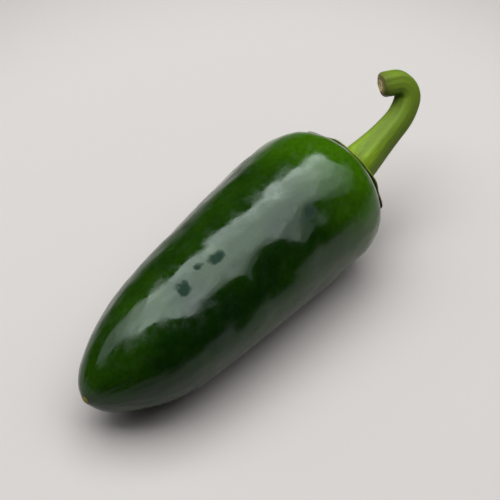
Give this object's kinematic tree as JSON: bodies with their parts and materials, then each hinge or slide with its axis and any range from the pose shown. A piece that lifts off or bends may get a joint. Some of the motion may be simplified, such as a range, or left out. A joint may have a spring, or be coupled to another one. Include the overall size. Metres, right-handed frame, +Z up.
{
  "type": "chilli pepper",
  "caption": "Whole fresh green chilli pepper, a glossy tapered pod with a curled stem and toothed calyx, lying on its side as picked.",
  "frame": {"origin": "on the surface it lies on, in the middle of the small flat spot under the pod", "axes": "+X along the pod from its tip to its stem, +Y sideways, +Z up from the surface it lies on"},
  "size_m": [0.0908, 0.0287, 0.0283],
  "materials": {
    "pod_skin": "waxy gloss, dark green",
    "stem_skin": "satin, ribbed, yellow-green"
  },
  "bodies": {
    "root": {"pod": "pod_skin", "stem_with_calyx": "stem_skin"}
  },
  "joints": []
}
